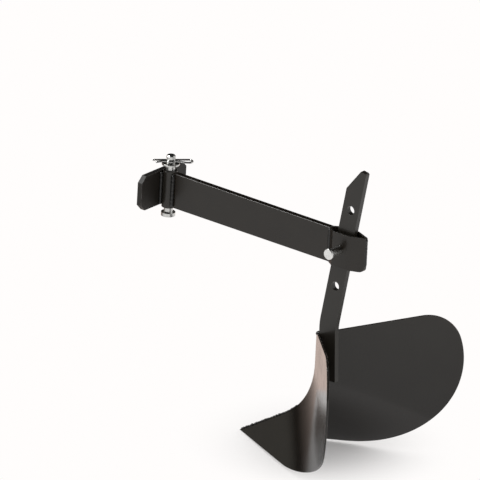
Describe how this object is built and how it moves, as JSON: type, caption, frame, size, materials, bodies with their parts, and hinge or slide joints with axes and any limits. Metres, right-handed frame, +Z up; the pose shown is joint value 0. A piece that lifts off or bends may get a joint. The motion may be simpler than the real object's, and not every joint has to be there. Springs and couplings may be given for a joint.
{
  "type": "walk behind ridger",
  "caption": "Ridging plough for a walk-behind tiller: flat drawbar with a hitch tube, height pocket, leaning shank and rolled moldboard wings joined in a pointed prow.",
  "frame": {"origin": "on the hitch axis, at half height of the drawbar", "axes": "+Z up along the hitch axis, -Y the direction of travel, +X the machine's left"},
  "size_m": [0.3032, 0.4318, 0.4393],
  "materials": {
    "black_paint": "semi-gloss black paint on flat steel",
    "wing_paint": "semi-gloss black paint on rolled sheet steel",
    "painted_weld": "rough weld bead under thin black paint",
    "zinc": "bright zinc plate",
    "spring_wire": "bright spring wire"
  },
  "bodies": {
    "drawbar": {"drawbar": "black_paint", "hitch_tube": "black_paint", "head_plate": "black_paint", "tube_weld_left": "painted_weld", "tube_weld_right": "painted_weld", "plate_weld_left": "painted_weld", "plate_weld_right": "painted_weld", "strap_left": "black_paint", "strap_right": "black_paint", "strap_weld_left": "painted_weld", "strap_weld_right": "painted_weld", "pocket_end_weld": "painted_weld"},
    "shank": {"shank": "black_paint", "wing_left": "wing_paint", "wing_right": "wing_paint", "prow_weld": "painted_weld", "prow_tack": "painted_weld", "shank_weld_left": "painted_weld", "shank_weld_right": "painted_weld", "shank_toe_weld": "painted_weld"},
    "height_pin": {"height_pin": "zinc", "height_pin_head": "zinc"},
    "hitch_pin": {"hitch_pin": "zinc", "hitch_washer": "zinc", "hitch_clip": "spring_wire"}
  },
  "joints": [
    {"name": "shank_depth", "type": "slide", "parent": "drawbar", "child": "shank", "axis": [0, 0.165, 0.9863], "range_m": [-0.06, 0.06]},
    {"name": "height_pin_slide", "type": "slide", "parent": "drawbar", "child": "height_pin", "axis": [1, 0, 0], "range_m": [-0.0205, 0.008]},
    {"name": "hitch_pin_turn", "type": "hinge", "parent": "drawbar", "child": "hitch_pin", "pos_m": [0, 0, 0], "axis": [0, 0, 1], "continuous": true}
  ]
}
